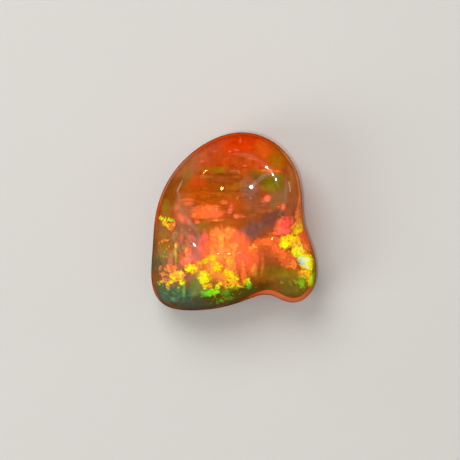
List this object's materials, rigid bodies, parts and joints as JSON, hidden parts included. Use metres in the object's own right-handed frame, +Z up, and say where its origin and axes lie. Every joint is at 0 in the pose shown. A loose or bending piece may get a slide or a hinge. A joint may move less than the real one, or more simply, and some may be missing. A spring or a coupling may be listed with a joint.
{
  "type": "polished fire opal",
  "caption": "Freeform polished fire opal: clear orange stone with patches of red, yellow and green fire, a shallow dish in its face and a flat back.",
  "frame": {"origin": "middle of the stone's length and width, on the plane of its flat back", "axes": "+Z up, out of the face; +Y towards the broad round end; +X towards the side with the small toe"},
  "size_m": [0.012, 0.013, 0.0062],
  "materials": {
    "opal": "high polish, see-through orange body with patches of fire"
  },
  "bodies": {
    "root": {"fire_opal": "opal"}
  },
  "joints": []
}
